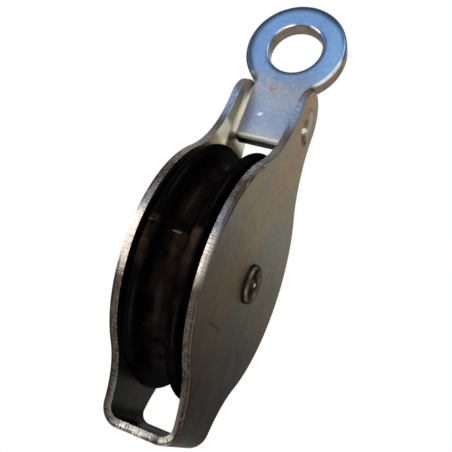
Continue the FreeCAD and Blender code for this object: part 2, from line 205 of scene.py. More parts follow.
# %% [markdown]
# ## The strap
#
# The cheeks and the web under the wheel are one strip of 2.5 mm steel. A press cuts the flat blank
# and a second one folds it. It could be modelled folded, with a boolean for the channel, but then
# the sheared edge would have no grain to follow. So the blank is laid out flat, as the press sees
# it: the outline of a cheek is drawn by tangent arcs, unrolled along the strip, and mirrored.

# %% Outline of a cheek
CHEEK, SHOULDER, FOOT = 38.75, 33.0, 29.0
NECK_END, NECK_RADIUS = (0.0, 56.5), 10.5
WEB_HALF, WEB_DEPTH = 12.0, 52.5
INSIDE, THICK, BEND = 10.0, 2.5, 6.0


def bearing(start, end):
    return math.atan2(end[1] - start[1], end[0] - start[0])


def meeting(first, first_reach, second, second_reach):
    """The point right of the line from first to second that lies at both distances."""
    apart, way = math.dist(first, second), bearing(first, second)
    reach = (first_reach**2 - second_reach**2 + apart**2) / (2 * apart)
    height = math.sqrt(first_reach**2 - reach**2)
    return (
        first[0] + math.cos(way) * reach + math.sin(way) * height,
        first[1] + math.sin(way) * reach - math.cos(way) * height,
    )


toe = (WEB_HALF, -WEB_DEPTH)
over = meeting((0, 0), CHEEK + SHOULDER, NECK_END, NECK_RADIUS + SHOULDER)
under = meeting(toe, FOOT, (0, 0), CHEEK + FOOT)
top_joint, low_joint = bearing((0, 0), over), bearing((0, 0), under)
end_joint = bearing(NECK_END, over)


def foot_width(height):
    """Half the width of the strap where the foot's arc makes it."""
    return under[0] - math.sqrt(FOOT**2 - (height - under[1]) ** 2)


bend_top = -WEB_DEPTH + BEND
foot_start = bearing(under, (foot_width(bend_top), bend_top)) % (2 * math.pi)
cheek_side = (
    arc(under, FOOT, foot_start, math.pi + low_joint)
    + arc((0, 0), CHEEK, low_joint, top_joint)
    + arc(over, SHOULDER, math.pi + top_joint, math.pi + end_joint)
    + arc(NECK_END, NECK_RADIUS, end_joint, 0.5 * math.pi)
)
print("half outline of a cheek:", len(cheek_side), "points")

# %% Unroll the outline and build the blank
FLAT = INSIDE + THICK - BEND
MIDDLE = BEND - THICK / 2
ROLL = MIDDLE * 0.5 * math.pi
BEND_STEPS = 18


def unroll(height):
    """How far along the strip a height above the bend lies, from the middle of the web."""
    return FLAT + ROLL + height - bend_top


bend_points = []
for i in range(BEND_STEPS):
    angle = 0.5 * math.pi * i / BEND_STEPS
    spot = bend_top - MIDDLE * math.cos(angle)
    bend_points.append((FLAT + MIDDLE * angle, foot_width(spot)))
web_points = [(FLAT * i / 16, WEB_HALF) for i in range(16)]
quarter = web_points + bend_points + [(unroll(z), y) for y, z in cheek_side]
quarter[-1] = (quarter[-1][0], 0.0)
half = quarter + [(t, -y) for t, y in reversed(quarter[:-1])]
blank_outline = thin(list(reversed(half + [(-t, y) for t, y in reversed(half[1:-1])])))


def sheared(point, along, height):
    """A sheared edge is smooth near the die and broken further in."""
    broken = 1 - min(1, max(0, (height + 0.1) / 0.5))
    coarse = noise.noise(Vector((along * 0.8, height * 1.2, 3.0)))
    fine = noise.noise(Vector((along * 2.6, height * 2.2, 9.0)))
    drift = noise.noise(Vector((along * 0.06, 0, 5.0)))
    return 0.05 + broken * (0.05 * coarse + 0.03 * fine) + 0.012 * fine + 0.05 * drift


ROLL_RADIUS = 0.35
ROLL_STEPS = 5
strap_rim = [(1.2, -THICK / 2, 0), (0.3, -THICK / 2, 0), (0.09, -THICK / 2 + 0.02, 0.6)]
strap_rim += [(0.0, -THICK / 2 + 0.12, 1)]
strap_rim += [(0.0, -1.0 + 0.2 * i, 1) for i in range(10)]
for i in range(1, ROLL_STEPS + 1):
    angle = 0.5 * math.pi * i / ROLL_STEPS
    strap_rim.append((
        ROLL_RADIUS - ROLL_RADIUS * math.cos(angle),
        THICK / 2 - ROLL_RADIUS + ROLL_RADIUS * math.sin(angle),
        1 - 0.25 * i / ROLL_STEPS if i < ROLL_STEPS else 0.3,
    ))
strap_rim.append((1.4, THICK / 2, 0))


def rounded_box(centre, width, height, corner):
    """A clockwise loop, because the material lies outside it."""
    points = []
    for turn_index in range(4):
        angle = 0.5 * math.pi * turn_index
        sx = 1 if turn_index in (0, 3) else -1
        sy = 1 if turn_index in (0, 1) else -1
        middle = (centre[0] + sx * (width / 2 - corner), centre[1] + sy * (height / 2 - corner))
        points += arc(middle, corner, angle, angle + 0.5 * math.pi, 0.2)
    return thin(list(reversed(points)))


TENON_ABOVE, TENON_HEIGHT, SLOT_WIDTH, SLOT_CORNER, AXLE_HOLE = 56.6, 7.2, 4.9, 0.5, 4.05

blank = blank_mesh()
rims = [rim(blank, blank_outline, strap_rim, sheared)]
wall = [(0, -THICK / 2, 0), (0, 0, 1), (0, THICK / 2, 0)]
for side in (-1, 1):
    # The slot is narrower than the tenon in it, so that no gap shows beside the stem.
    slot = rounded_box((side * unroll(TENON_ABOVE), 0), TENON_HEIGHT, SLOT_WIDTH, SLOT_CORNER)
    hole = list(reversed(arc((side * unroll(0), 0), AXLE_HOLE, 0, 2 * math.pi)[:-1]))
    rims.append(rim(blank, slot, wall))
    rims.append(rim(blank, hole, wall))
close_skins(blank, rims)
print("blank:", len(blank.verts), "points,", round(2 * quarter[-1][0]), "mm long")

# %% Fold the blank into a U
for side in (-1, 1):
    for i in range(BEND_STEPS + 1):
        where = side * (FLAT + ROLL * i / BEND_STEPS)
        everything = blank.verts[:] + blank.edges[:] + blank.faces[:]
        bmesh.ops.bisect_plane(
            blank, geom=everything, dist=1e-3, plane_co=(where, 0, 0), plane_no=(1, 0, 0)
        )


def fold(spot):
    along, across, height = spot
    side = 1 if along >= 0 else -1
    run = abs(along) - FLAT
    if run <= 0:
        return Vector((along, across, -WEB_DEPTH + THICK / 2 - height))
    if run < ROLL:
        angle, radius = run / MIDDLE, MIDDLE + height
        return Vector((
            side * (FLAT + radius * math.sin(angle)), across, bend_top - radius * math.cos(angle)
        ))
    return Vector((side * (FLAT + MIDDLE + height), across, bend_top + run - ROLL))


for vertex in blank.verts:
    vertex.co = fold(vertex.co) + Vector((0, 0, AXLE_HEIGHT / MM))
strap = finish_mesh(blank, "strap_folded")

# %% [markdown]
# ## The eye plate
#
# The eye is cut from thicker plate and tumbled until its edges are round. Its stem fills the gap
# between the cheeks, and a tenon on each side goes through a slot and is hammered over outside.
# The plate is made like the blank of the strap. Each hammered end is its own small dome, whose
# height is written as a few dents, because the blows of a hammer are few and not regular.

# %% Outline of the eye
RING, BORE, PLATE = 17.3, 9.25, 6.0
NECK_HALF, NOTCH, SHOULDER_ROUND = 9.5, 1.2, 1.4
STEM_LOW, STEM_CORNER = -36.0, 1.5

waist = NECK_HALF + NOTCH
notch_middle = (waist, -math.sqrt((RING + NOTCH) ** 2 - waist**2))
shoulder_x = INSIDE - SHOULDER_ROUND
shoulder_fall = math.sqrt((NOTCH + SHOULDER_ROUND) ** 2 - (waist - shoulder_x) ** 2)
shoulder_middle = (shoulder_x, notch_middle[1] - shoulder_fall)
ring_joint = bearing((0, 0), notch_middle)
tip = bearing(shoulder_middle, notch_middle)
right_side = (
    [(i * 0.5, STEM_LOW) for i in range(17)]
    + arc((INSIDE - STEM_CORNER, STEM_LOW + STEM_CORNER), STEM_CORNER, -0.5 * math.pi, 0, 0.2)
    + [(INSIDE, -34.0 + i) for i in range(17)]
    + arc(shoulder_middle, SHOULDER_ROUND, 0, tip, 0.15)
    + arc(notch_middle, NOTCH, math.pi + tip, math.pi + ring_joint, 0.15)
    + arc((0, 0), RING, ring_joint, 0.5 * math.pi, 0.35)
)
left_side = [(-x, z) for x, z in reversed(right_side)]
eye_outline = thin(right_side + left_side, 0.04)


def rounded(radius, thickness, far, steps=7):
    """The profile of a rim whose two edges are rounded by the same radius."""
    profile = [(far, -thickness / 2, 0)]
    for i in range(steps + 1):
        angle = 0.5 * math.pi * i / steps
        profile.append((
            radius - radius * math.sin(angle), -thickness / 2 + radius - radius * math.cos(angle),
            math.sin(angle),
        ))
    upper = [(inset, -height, note) for inset, height, note in reversed(profile)]
    return profile + upper


ROUND, PRESSED_ROUND, BORE_ROUND = 1.2, 0.25, 0.8
PRESSED_SIDE, PRESSED_LOW, PRESSED_HIGH = 9.6, -35.2, -17.0


def fall_back(radius, depth):
    """How far a rounded edge has drawn back at a depth below the face."""
    return radius - math.sqrt(radius**2 - (radius - depth) ** 2) if depth < radius else 0.0


def tumbled(point, along, height):
    """Unevenness of the edge. The sides of the stem were pressed sharp between the cheeks."""
    wave = noise.noise(Vector((point[0] * 0.25, point[1] * 0.25, height * 0.3)))
    nick = noise.noise(Vector((point[0] * 1.1, point[1] * 1.1, height * 0.9)))
    rest = 0.06 + 0.05 * wave + 0.02 * nick
    depth = PLATE / 2 - abs(height)
    pressed = fall_back(PRESSED_ROUND, depth) - fall_back(ROUND, depth) - 0.01
    share = min(
        (abs(point[0]) - PRESSED_SIDE) / 0.35, (point[1] - PRESSED_LOW) / 0.6,
        PRESSED_HIGH - point[1],
    )
    return rest + (pressed - rest) * max(0, min(1, share))


plate = blank_mesh()
bore_loop = list(reversed(arc((0, 0), BORE, 0, 2 * math.pi, 0.3)[:-1]))
plate_rims = [
    rim(plate, eye_outline, rounded(ROUND, PLATE, 1.6), tumbled),
    rim(plate, bore_loop, rounded(BORE_ROUND, PLATE, 1.3, 6)),
]
close_skins(plate, plate_rims)
for vertex in plate.verts:
    x, z, depth = vertex.co
    vertex.co = Vector((x, -depth, z))
print("eye plate:", len(plate.verts), "points")

# %% Hammered ends of the tenons
TENON_MIDDLE, BLOWS_MIDDLE = TENON_ABOVE + AXLE_HEIGHT / MM, -25.5
DOME, FURROW_DEPTH = 0.32, 0.22
FURROW = ((-2.5, -26.4), (2.4, 1.3), 25)
LIP = ((-2.3, -29.0), (2.1, 0.8), 28)


def from_mark(place, middle, half, lean):
    """Distance from the middle of a leaning oval mark, 1 on its border."""
    across, up = place[0] - middle[0], place[1] - middle[1]
    c, s = math.cos(math.radians(lean)), math.sin(math.radians(lean))
    return math.hypot((across * c + up * s) / half[0], (up * c - across * s) / half[1])


def hammered(across, up, far, side):
    """Height of a hammered end over the cheek, and its mark: 1 on the lip, -1 in the furrow."""
    grain = 0.05 * noise.noise(Vector((across * 0.6, up * 0.6, 2.0 * side)))
    furrow, lip = 0.0, 0.0
    if side > 0:
        furrow = math.exp(-from_mark((across, up), *FURROW) ** 2)
        lip = math.exp(-from_mark((across, up), *LIP) ** 6)
    height = (DOME - FURROW_DEPTH * furrow + lip + grain) * (1 - far**4) - 0.03
    return height, lip - furrow


def hammered_end(mesh, side):
    rows, columns, size_up, size_across = 44, 40, 4.7, 4.2
    notes = [mesh.verts.layers.float[name] for name in ("rim", "along", "skin")]
    grid = []
    for i in range(rows + 1):
        line = []
        for j in range(columns + 1):
            up, across = 2 * i / rows - 1, 2 * j / columns - 1
            far = max(abs(up), abs(across))
            square = (abs(up) ** 7 + abs(across) ** 7) ** (1 / 7)
            fit = far / square if square > 0 else 1
            y, z = across * fit * size_across, BLOWS_MIDDLE + up * fit * size_up
            height, mark = hammered(y, z, far, side)
            vertex = mesh.verts.new((side * (INSIDE + THICK + height), y, z))
            vertex[notes[0]], vertex[notes[1]], vertex[notes[2]] = 0.4, mark, 2.0
            line.append(vertex)
        grid.append(line)
    for low, high in zip(grid, grid[1:]):
        for j in range(columns):
            mesh.faces.new((low[j], low[j + 1], high[j + 1], high[j]))
    border = grid[0] + [line[-1] for line in grid[1:]] + grid[-1][-2::-1]
    border += [line[0] for line in grid[-2:0:-1]]
    foot = []
    for vertex in border:
        low = mesh.verts.new((side * (INSIDE + 0.6), vertex.co.y * 0.7, vertex.co.z))
        low.co.z = TENON_MIDDLE + (vertex.co.z - BLOWS_MIDDLE) * TENON_HEIGHT / (2 * size_up)
        low[notes[0]], low[notes[2]] = 1.0, 2.0
        foot.append(low)
    band(mesh, border, foot)
    mesh.faces.new(foot)


hammered_end(plate, 1)
hammered_end(plate, -1)
eye = finish_mesh(plate, "eye_forged", 50)

# %% [markdown]
# ## The axle rivet
#
# The axle is a rivet whose end has been rolled over: a raised ring, a round dish inside it, and a
# point left in the middle by the tool. Every section through it is the same, so the half section
# is drawn once and turned about the axle. A little noise keeps the ring from looking new.

# %% Turn the rivet
SHANK, SEAT = 4.0, 12.5
RING_OUT, RING_ROLL, DISH, POINT, HEAD = 6.25, 0.85, 1.7, 2.2, 1.8
PLAIN_HEAD, PLAIN_HEIGHT, PLAIN_EDGE = 6.5, 1.8, 0.9

right = SEAT + HEAD
ring_middle = (right - RING_ROLL, RING_OUT - RING_ROLL)
point_middle = (right - POINT, 0.0)
dish_middle = meeting(point_middle, POINT + DISH, ring_middle, RING_ROLL + DISH)
ring_turn, point_turn = bearing(ring_middle, dish_middle), bearing(point_middle, dish_middle)
left = -SEAT - PLAIN_HEIGHT
section = (
    arc(point_middle, POINT, 0, point_turn, 0.15)
    + arc(dish_middle, DISH, math.pi + point_turn, math.pi + ring_turn, 0.15)
    + arc(ring_middle, RING_ROLL, ring_turn, 0.5 * math.pi, 0.12)
    + [(SEAT + 0.25, RING_OUT), (SEAT, RING_OUT - 0.15), (SEAT, SHANK), (-SEAT, SHANK)]
    + [(-SEAT, PLAIN_HEAD - 0.1), (-SEAT - 0.15, PLAIN_HEAD)]
    + arc((left + PLAIN_EDGE, PLAIN_HEAD - PLAIN_EDGE), PLAIN_EDGE, 0.5 * math.pi, math.pi, 0.15)
    + [(left, 3.0), (left, 0.0)]
)
section = [section[0]] + [p for p in section[1:-1] if p[1] > 0.02] + [section[-1]]


def turned(mesh, points, steps, unevenness):
    """Turn a section about the axle, from one pole to the other."""
    height = AXLE_HEIGHT / MM
    first = mesh.verts.new((points[0][0], 0, height))
    last = mesh.verts.new((points[-1][0], 0, height))
    rings = []
    for x, radius in points[1:-1]:
        ring = []
        for i in range(steps):
            angle = 2 * math.pi * i / steps
            y, z = math.cos(angle), math.sin(angle)
            wave = unevenness * noise.noise(Vector((x * 0.7, y * radius * 0.5, z * radius * 0.5)))
            share = min(1, radius / 2)
            shift = wave * (1 if x > 0 else -0.6)
            ring.append(mesh.verts.new((
                x + shift * share, (radius + wave) * y, height + (radius + wave) * z
            )))
        rings.append(ring)
    for inner, outer in zip(rings, rings[1:]):
        band(mesh, inner, outer)
    for i in range(steps):
        j = (i + 1) % steps
        mesh.faces.new((first, rings[0][j], rings[0][i]))
        mesh.faces.new((last, rings[-1][i], rings[-1][j]))


rivet_mesh = blank_mesh()
turned(rivet_mesh, thin(section, 0.03), 96, 0.07)
rivet = finish_mesh(rivet_mesh, "rivet_rolled", 50)

# %% [markdown]
# ## The wheel
#
# The wheel is moulded in black plastic: a hub, a thin web with ribs on both sides, and a rim with a
# round rope groove. Its shape follows two rules, a section that runs round the axle and a rib that
# repeats, so Geometry Nodes make it. The section is an open drawing whose corners are softened as
# a mould softens them. The tree sweeps it round a circle, copies one rib round the hub, and turns
# the whole onto the axle.

# %% Section of the wheel
WHEEL, TREAD, WIDTH, CREST, GROOVE = 39.5, 31.0, 8.2, 1.7, 4.4
RIM_FLOOR, WEB, HUB, HUB_SIDE, WHEEL_BORE = 27.4, 3.0, 12.0, 9.7, 6.08
PARTING = 0.12

crest_middle = (WIDTH - CREST, WHEEL - CREST)
groove_middle = (0.0, TREAD + GROOVE)
gap = math.dist(crest_middle, groove_middle)
wall_lean = bearing(crest_middle, groove_middle) % (2 * math.pi) - math.acos((CREST + GROOVE) / gap)


def soften(before, corner, after, radius):
    """Points that cut a corner with a small curve."""
    middle = Vector(corner)
    start, end = (middle + (Vector(p) - middle).normalized() * radius for p in (before, after))
    return [tuple(start * (1 - t) ** 2 + middle * 2 * t * (1 - t) + end * t * t)
            for t in (0, 0.25, 0.5, 0.75, 1)]


groove_floor = arc(groove_middle, GROOVE, wall_lean - math.pi, -wall_lean, 0.35)
middle_index = len(groove_floor) // 2
groove_floor[middle_index] = (0.0, groove_floor[middle_index][1] + PARTING)
crest_right = arc(crest_middle, CREST, 0, wall_lean, 0.2)
crest_left = [(-a, r) for a, r in reversed(crest_right)]
corners = [
    (-WIDTH, RIM_FLOOR), (-WEB, RIM_FLOOR), (-WEB, HUB), (-HUB_SIDE, HUB),
    (-HUB_SIDE, WHEEL_BORE), (HUB_SIDE, WHEEL_BORE), (HUB_SIDE, HUB), (WEB, HUB),
    (WEB, RIM_FLOOR), (WIDTH, RIM_FLOOR),
]
radii = [0.5, 1.2, 1.2, 0.5, 0.2, 0.2, 0.5, 1.2, 1.2, 0.5]
wheel_section = crest_right + groove_floor + crest_left
path = [crest_left[-1]] + corners + [crest_right[0]]
for before, corner, after, radius in zip(path, corners, path[2:], radii):
    wheel_section += soften(before, corner, after, radius)
wheel_section = thin(wheel_section, 0.03)
print("wheel section:", len(wheel_section), "points")

# %% The node tree of the wheel
def plug(tree, value, socket):
    """Join a node, or one of its outputs, to a socket, or set the socket to a plain value."""
    if isinstance(value, bpy.types.Node):
        value = value.outputs[0]
    if isinstance(value, bpy.types.NodeSocket):
        tree.links.new(value, socket)
    else:
        socket.default_value = value


def tree_node(tree, kind, settings=(), **inputs):
    made = tree.nodes.new(kind)
    for key, value in dict(settings).items():
        setattr(made, key, value)
    for key, value in inputs.items():
        plug(tree, value, made.inputs[key.replace("_", " ")])
    return made


def maths_node(tree, operation, first, second=0.0):
    made = tree_node(tree, "ShaderNodeMath", {"operation": operation})
    plug(tree, first, made.inputs[0])
    plug(tree, second, made.inputs[1])
    return made.outputs[0]


def wheel_tree():
    tree = bpy.data.node_groups.new("wheel_by_rule", "GeometryNodeTree")
    face = tree.interface
    face.new_socket("Section", in_out="INPUT", socket_type="NodeSocketGeometry")
    for name, kind in (
        ("Sweep radius", "Float"), ("Sweep steps", "Int"), ("Rib count", "Int"),
        ("Rib start", "Float"), ("Rib end", "Float"), ("Rib thickness", "Float"),
        ("Rib depth", "Float"), ("Rib corner", "Float"), ("Axle height", "Float"),
        ("Finish", "Material"),
    ):
        face.new_socket(name, in_out="INPUT", socket_type="NodeSocket" + kind)
    face.new_socket("Wheel", in_out="OUTPUT", socket_type="NodeSocketGeometry")
    given = tree.nodes.new("NodeGroupInput").outputs

    section_curve = tree_node(tree, "GeometryNodeMeshToCurve", Mesh=given["Section"])
    circle = tree_node(tree, "GeometryNodeCurvePrimitiveCircle",
                       Resolution=given["Sweep steps"], Radius=given["Sweep radius"])
    rim_mesh = tree_node(tree, "GeometryNodeCurveToMesh", Curve=circle, Profile_Curve=section_curve)

    start = tree_node(tree, "ShaderNodeCombineXYZ", X=given["Rib start"])
    end = tree_node(tree, "ShaderNodeCombineXYZ", X=given["Rib end"])
    spine = tree_node(tree, "GeometryNodeCurvePrimitiveLine", Start=start, End=end)
    box = tree_node(tree, "GeometryNodeCurvePrimitiveQuadrilateral",
                    Width=given["Rib thickness"], Height=given["Rib depth"])
    soft_box = tree_node(tree, "GeometryNodeFilletCurve", Curve=box, Radius=given["Rib corner"],
                         Limit_Radius=True)
    if hasattr(soft_box, "mode"):
        soft_box.mode = "POLY"
    rib = tree_node(tree, "GeometryNodeCurveToMesh", Curve=spine, Profile_Curve=soft_box,
                    Fill_Caps=True)

    points = tree_node(tree, "GeometryNodePoints", Count=given["Rib count"])
    index = tree.nodes.new("GeometryNodeInputIndex")
    share = maths_node(tree, "DIVIDE", index, given["Rib count"])
    angle = maths_node(tree, "MULTIPLY", share, 2 * math.pi)
    turn_to = tree_node(tree, "ShaderNodeCombineXYZ", Z=angle)
    ribs = tree_node(tree, "GeometryNodeInstanceOnPoints", Points=points, Instance=rib,
                     Rotation=turn_to)

    both = tree.nodes.new("GeometryNodeJoinGeometry")
    plug(tree, ribs, both.inputs[0])
    plug(tree, rim_mesh, both.inputs[0])
    lift = tree_node(tree, "ShaderNodeCombineXYZ", Z=given["Axle height"])
    onto_axle = tree_node(tree, "GeometryNodeTransform", Geometry=both, Translation=lift,
                          Rotation=(0, 0.5 * math.pi, 0))
    real = tree_node(tree, "GeometryNodeRealizeInstances", Geometry=onto_axle)
    dressed = tree_node(tree, "GeometryNodeSetMaterial", Geometry=real, Material=given["Finish"])
    plug(tree, dressed, tree.nodes.new("NodeGroupOutput").inputs[0])
    return tree


def run_tree(tree, start, values, name):
    """Give the tree its inputs, evaluate it once and keep the result as a plain mesh."""
    holder = bpy.data.objects.new(name + "_section", start)
    bpy.context.scene.collection.objects.link(holder)
    modifier = holder.modifiers.new("rule", "NODES")
    modifier.node_group = tree
    sockets = {s.name: s.identifier for s in tree.interface.items_tree if s.in_out == "INPUT"}
    for key, value in values.items():
        modifier[sockets[key]] = value
    bpy.context.view_layer.update()
    depsgraph = bpy.context.evaluated_depsgraph_get()
    data = bpy.data.meshes.new_from_object(holder.evaluated_get(depsgraph))
    bpy.data.objects.remove(holder)
    data.name = name
    evaluated = bmesh.new()
    evaluated.from_mesh(data)
    return settle(evaluated, data, name, 50)


print("helpers: tree_node, maths_node, wheel_tree, run_tree")

# %% [markdown]
# ## Finishes
#
# A finish is a small recipe on one Principled shader. Zinc plating is bright where it is clean and
# carries a thin passivation film that tints it blue, olive or brown by its thickness. Image
# textures could show that, but they would need a photograph. Noise, ramps and the notes in the
# meshes do it here, and they stay sharp from every side. Places are in metres, and shades are
# written as a screen shows them.

# %% A recipe for finishes
def shade(red, green, blue):
    """A colour as a screen shows it, from 0 to 255, as the shader wants it."""
    def straight(value):
        value /= 255
        return value / 12.92 if value <= 0.04045 else ((value + 0.055) / 1.055) ** 2.4
    return (straight(red), straight(green), straight(blue), 1.0)


class Finish:
    """A procedural finish, put together node by node on one Principled shader."""

    def __init__(self, name):
        self.material = bpy.data.materials.new(name)
        self.material.use_nodes = True
        self.tree = self.material.node_tree
        self.shader = self.tree.nodes["Principled BSDF"]
        self.place = self.tree.nodes.new("ShaderNodeTexCoord").outputs["Object"]
        split = tree_node(self.tree, "ShaderNodeSeparateXYZ", Vector=self.place)
        self.x, self.y, self.z = split.outputs

    def link(self, source, socket):
        plug(self.tree, source, self.shader.inputs[socket])

    def fixed(self, **values):
        for key, value in values.items():
            self.shader.inputs[key.replace("_", " ")].default_value = value

    def note(self, name):
        return tree_node(self.tree, "ShaderNodeAttribute", {"attribute_name": name}).outputs["Fac"]

    def join(self, operation, first, *others):
        """Join values by one operation, from left to right."""
        for other in others:
            first = maths_node(self.tree, operation, first, other)
        return first

    def times(self, *values):
        return self.join("MULTIPLY", *values)

    def plus(self, *values):
        return self.join("ADD", *values)

    def less(self, first, second):
        return self.join("SUBTRACT", first, second)

    def most(self, *values):
        return self.join("MAXIMUM", *values)

    def rest(self, share):
        """What a share leaves of 1."""
        return self.less(1.0, share)

    def length(self, first, second):
        """The distance that two steps at a right angle reach."""
        square = self.plus(self.times(first, first), self.times(second, second))
        return maths_node(self.tree, "SQRT", square)

    def span(self, value, low, high):
        """0 at the low value, 1 at the high one, and smooth between."""
        made = tree_node(self.tree, "ShaderNodeMapRange", {"interpolation_type": "SMOOTHSTEP"},
                         Value=value, From_Min=low, From_Max=high)
        return made.outputs[0]

    def straight_span(self, value, low, high):
        made = tree_node(self.tree, "ShaderNodeMapRange", Value=value, From_Min=low, From_Max=high)
        return made.outputs[0]

    def near(self, value, middle, reach):
        """1 at the middle, and 0 beyond the reach on both sides."""
        off = maths_node(self.tree, "ABSOLUTE", self.less(value, middle))
        return self.span(off, reach, reach * 0.4)

    def spot(self, first, second, middle, half, lean=0.0):
        """1 in the middle of an ellipse and 0 outside. Lean turns its first half, in degrees."""
        place = tree_node(self.tree, "ShaderNodeCombineXYZ", X=first, Y=second)
        leaning = tree_node(self.tree, "ShaderNodeMapping", {"vector_type": "TEXTURE"},
                            Vector=place, Location=(*middle, 0), Scale=(*half, 1),
                            Rotation=(0, 0, math.radians(lean)))
        far = tree_node(self.tree, "ShaderNodeVectorMath", {"operation": "LENGTH"}, Vector=leaning)
        return self.span(far.outputs["Value"], 1.0, 0.45)

    def grain(self, scale, detail=3.0, roughness=0.5, stretch=(1, 1, 1), shift=0.0):
        """Noise from 0 to 1. The scale is in grains per millimetre."""
        place = tree_node(self.tree, "ShaderNodeMapping", Vector=self.place,
                          Location=(shift, shift, shift), Scale=stretch)
        made = tree_node(self.tree, "ShaderNodeTexNoise", Vector=place, Scale=scale / MM,
                         Detail=detail, Roughness=roughness)
        return made.outputs["Fac"]

    def wander(self, value, grain, amount):
        """Move a value to both sides by a noise, by half the amount at most."""
        return self.plus(value, self.times(self.less(grain, 0.5), amount))

    def lines(self, along, scale, detail=4.0):
        """Noise that changes only along a note, so it draws lines across it."""
        made = tree_node(self.tree, "ShaderNodeTexNoise", {"noise_dimensions": "1D"},
                         W=along, Scale=scale, Detail=detail, Roughness=0.7)
        return made.outputs["Fac"]

    def ramp(self, value, *stops):
        """Colours along a value. A stop is its place and then its shade."""
        made = tree_node(self.tree, "ShaderNodeValToRGB", Fac=value)
        points = made.color_ramp.elements
        while len(points) < len(stops):
            points.new(0.5)
        for point, (at, *colour) in zip(points, stops):
            point.position = at
            point.color = shade(*colour)
        return made.outputs["Color"]

    def mix(self, share, first, second, blend="MIX"):
        made = tree_node(self.tree, "ShaderNodeMix", {"data_type": "RGBA", "blend_type": blend})
        for index, value in ((0, share), (6, first), (7, second)):
            plug(self.tree, value, made.inputs[index])
        return made.outputs[2]

    def vary(self, colour, share, value, *stops):
        """Darken and lighten a colour by a ramp. The grey 188 would leave it as it is."""
        return self.mix(share, colour, self.ramp(value, *stops), "OVERLAY")

    def lay(self, colour, mask, *over):
        """Lay one shade over a colour, where the mask lets it."""
        return self.mix(mask, colour, shade(*over))

    def bump(self, height, depth, under=None):
        """Raise the surface by the height. The depth is in millimetres."""
        made = tree_node(self.tree, "ShaderNodeBump", Height=height, Distance=depth * MM)
        if under is not None:
            plug(self.tree, under, made.inputs["Normal"])
        return made.outputs[0]


finishes = {}
print("a finish can use:", ", ".join(name for name in vars(Finish) if name[0] != "_"))

# %% [markdown]
# ## Plated steel of the strap
#
# The strap is tan at the top and darker towards the web, and that darkening is painted shade. A
# ramp up the height carries the main colour, and masks add what breaks that rule. The passivation
# film lies over it in soft teal, olive and pink patches. Inside, the cheeks carry painted shade
# beside the wheel, behind it, in the web and under the stem, and painted light in two pale, yellow
# places in the neck.

# %% Faces of the strap
def from_axle(f):
    """Distance from the axle, in metres."""
    return f.length(f.y, f.less(f.z, AXLE_HEIGHT))


def on_right(f):
    """1 on the right half of the pulley, 0 on the left."""
    return f.span(f.x, 0.0, 0.001)


def face_colours(f):
    """Colour of the outside and the inside of the strap, before its stains. The ramps up the height
    are painted shade, with painted light inside the neck.
    """
    height = f.straight_span(f.wander(f.z, f.grain(0.035, 2, shift=1.3), 0.010), -0.134, -0.0145)
    # Painted shade: the outside darkens from the top towards the web, and the back ramp below darkens
    # its rear.
    outer = f.ramp(
        height,
        (0.0, 40, 37, 35), (0.12, 23, 23, 22), (0.24, 48, 44, 40), (0.34, 70, 62, 54),
        (0.46, 90, 83, 74), (0.58, 113, 108, 98), (0.76, 126, 117, 105), (1.0, 136, 121, 108),
    )
    # Painted shade on the inside beside the wheel and in the web, and painted light in the neck.
    inner = f.ramp(
        height,
        (0.0, 8, 12, 13), (0.03, 14, 19, 20), (0.06, 36, 40, 41), (0.12, 40, 42, 43),
        (0.28, 18, 18, 17), (0.60, 28, 27, 22), (0.70, 74, 70, 55), (0.78, 196, 191, 166),
        (0.86, 186, 178, 152), (0.93, 140, 136, 120), (1.0, 178, 168, 148),
    )
    back = f.ramp(height, (0.10, 18, 18, 18), (0.30, 50, 52, 50), (0.5, 86, 88, 82))
    behind = f.times(f.span(f.y, -0.012, 0.022), f.span(f.z, -0.066, -0.086), 0.6)
    # Painted shade on the inside behind the wheel.
    shade_behind_wheel = f.times(f.span(f.y, -0.003, 0.004), f.span(f.z, -0.120, -0.110), 0.7)
    # Painted shadow on the inside under the stem.
    under_stem = f.times(
        f.span(f.y, -0.0062, -0.0036), f.span(f.z, -0.0345, -0.0362), f.span(f.z, -0.052, -0.046),
        0.92,
    )
    return f.mix(behind, outer, back), f.lay(inner, f.most(shade_behind_wheel, under_stem), 40, 38, 28)


def painted_light_places(f):
    """Two pale patches of painted light inside the neck."""
    beside_stem = f.times(f.near(f.z, -0.0285, 0.0095), f.span(f.y, -0.0064, -0.0040))
    above_wheel = f.times(f.near(f.z, -0.0378, 0.0048), f.span(f.y, -0.0048, -0.0070), 1.5)
    return f.most(beside_stem, above_wheel)


def film(f, face):
    """The passivation film: wide patches of three tints, a fine mottle and small specks."""
    face = f.vary(
        face, 0.8, f.grain(0.055, 3, 0.55, (1, 1, 0.55), 4.1),
        (0.32, 170, 198, 192), (0.45, 188, 188, 188), (0.56, 200, 195, 168), (0.68, 206, 180, 176),
    )
    mottle = f.grain(0.5, 4, 0.65, shift=6.0)
    face = f.vary(face, 0.32, mottle, (0.3, 146, 144, 140), (0.7, 224, 222, 218))
    specks = f.span(f.grain(0.9, 2, 0.5, shift=9.1), 0.69, 0.75)
    return f.lay(face, f.times(specks, 0.5), 52, 43, 35)


# The two places in the neck are painted light.
print("strap: two ramps of colour up the height, a film of three tints, two polished places")

# %% [markdown]
# ### Stains of the strap
#
# Rust and old grease sit where water and hands bring them: along the front edge, around the tenon
# and in one scratch below the axle. They could be painted into an image by hand. Here each one is
# an oval or a band, and noise breaks up its border or bends it, so that it doesn't look drawn.

# %% Stains of the strap
def around_tenon(f):
    """Rust under the tenon, whose upper part is also painted shadow under the hammered lip, and a
    dark pit above it. They cross from the cheek onto the tenon.
    """
    # The upper part of this rust spot also stands in as painted shadow under the hammered lip.
    rust = f.spot(f.y, f.z, (0.0022, -0.0302), (0.0048, 0.0020), 5)
    pit = f.spot(f.y, f.z, (-0.0022, -0.0216), (0.0028, 0.0011), 38)
    eaten = f.span(f.grain(0.9, 4, 0.7, shift=5.2), 0.30, 0.52)
    return f.times(f.most(rust, f.times(pit, 0.9)), eaten, on_right(f))


